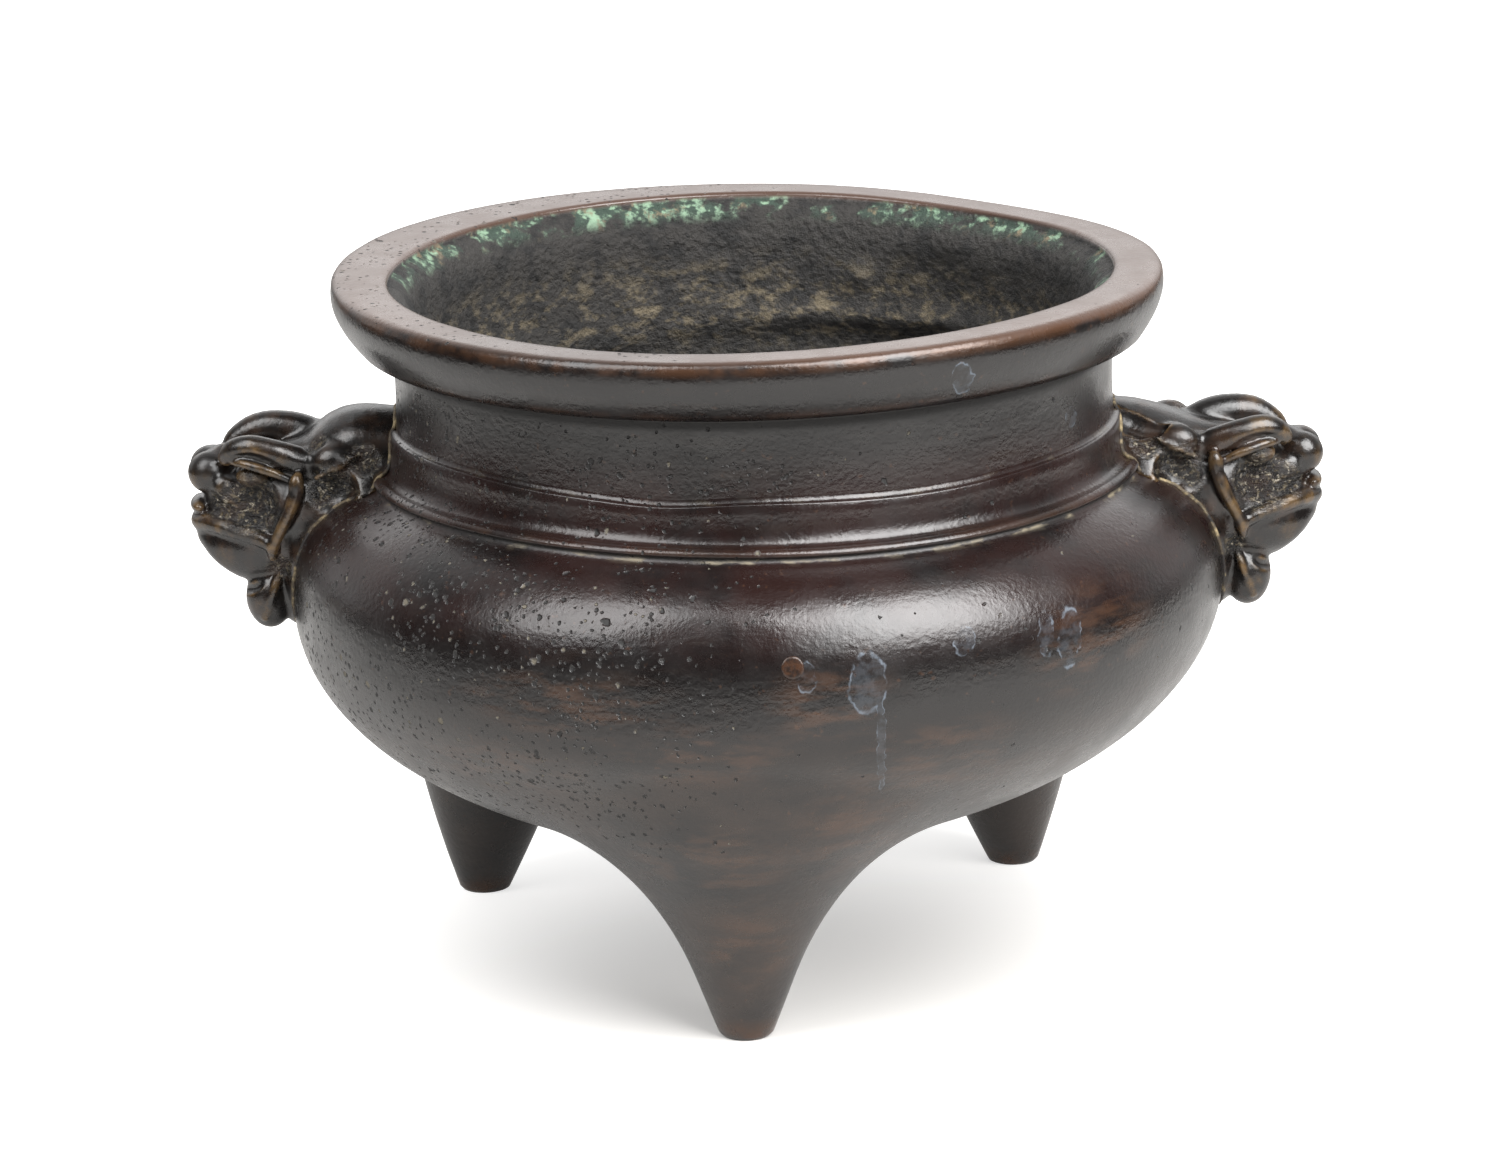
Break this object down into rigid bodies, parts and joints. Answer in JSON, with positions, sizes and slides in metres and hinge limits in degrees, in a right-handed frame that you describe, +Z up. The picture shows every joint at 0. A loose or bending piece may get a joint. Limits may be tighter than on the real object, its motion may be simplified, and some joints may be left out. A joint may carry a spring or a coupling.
{
  "type": "incense burner",
  "caption": "Round cast bronze incense burner on three conical feet, with a waisted neck, a thick flat lip, a stepped collar and a lion mask handle at each side.",
  "frame": {"origin": "on the ground, under the vessel's axis", "axes": "+X out through the right-hand mask, +Y to the back, away from the forward foot, +Z up"},
  "size_m": [0.1744, 0.1426, 0.1056],
  "materials": {
    "vessel_bronze": "dark brown-black patina, polished",
    "mask_bronze": "dark patina worn to brown metal on the high points",
    "solder": "dull tan deposit",
    "rivet_bronze": "hammered, dull",
    "plug_bronze": "reddish brown patina"
  },
  "bodies": {
    "root": {"vessel": "vessel_bronze", "belly_plug": "plug_bronze", "right_mask_handle": "mask_bronze", "right_handle_solder": "solder", "right_upper_rivet": "rivet_bronze", "right_lower_rivet": "rivet_bronze", "left_mask_handle": "mask_bronze", "left_handle_solder": "solder", "left_upper_rivet": "rivet_bronze", "left_lower_rivet": "rivet_bronze"}
  },
  "joints": []
}
